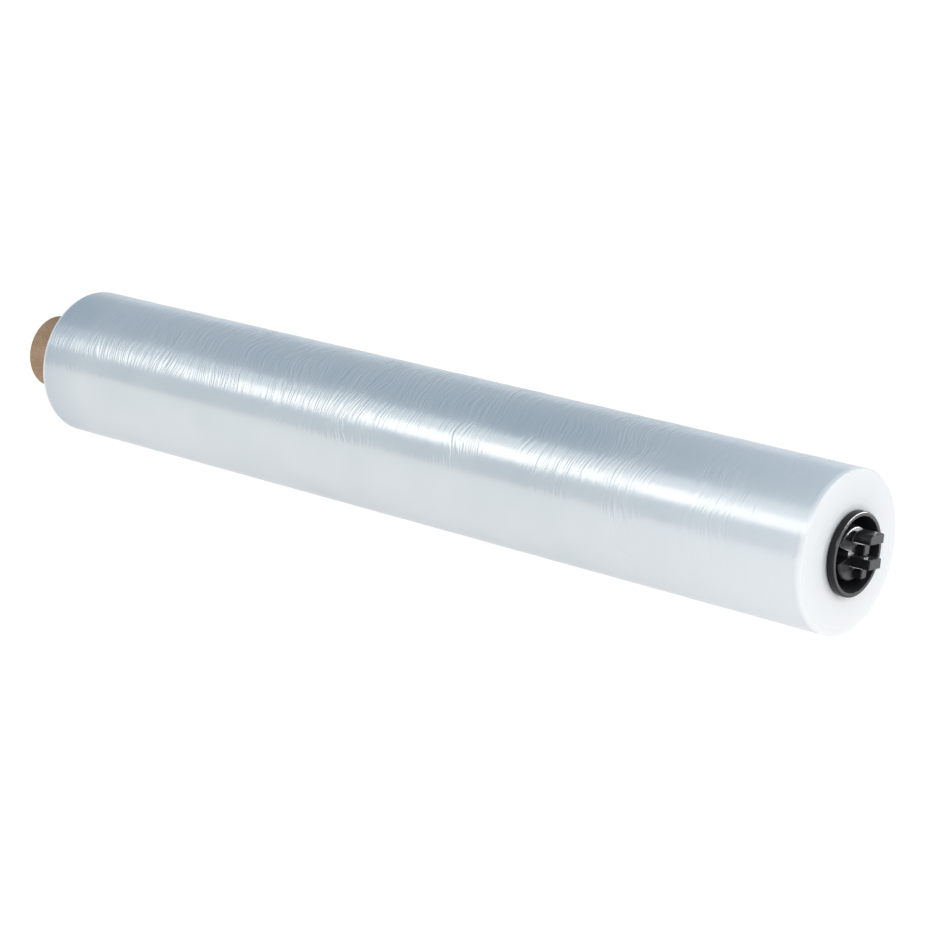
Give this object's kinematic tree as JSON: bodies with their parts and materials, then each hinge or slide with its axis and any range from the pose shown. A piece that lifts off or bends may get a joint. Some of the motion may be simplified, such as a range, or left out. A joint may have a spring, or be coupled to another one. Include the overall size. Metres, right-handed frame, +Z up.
{
  "type": "roll of cling film",
  "caption": "Catering roll of clear cling film wound on a card tube, with bare tube at one end and a black moulded key plug in the other.",
  "frame": {"origin": "on the surface the roll lies on, under the middle of the whole length", "axes": "+X along the roll's axis towards the plug, +Z up"},
  "size_m": [0.4906, 0.0708, 0.0702],
  "materials": {
    "film": "clear stretch film in many turns, glossy and milky pale blue-grey",
    "card": "spiral-wound brown kraft card, matt",
    "plug": "injection-moulded black plastic, satin"
  },
  "bodies": {
    "root": {"film_roll": "film", "core_tube": "card", "end_plug": "plug"}
  },
  "joints": []
}
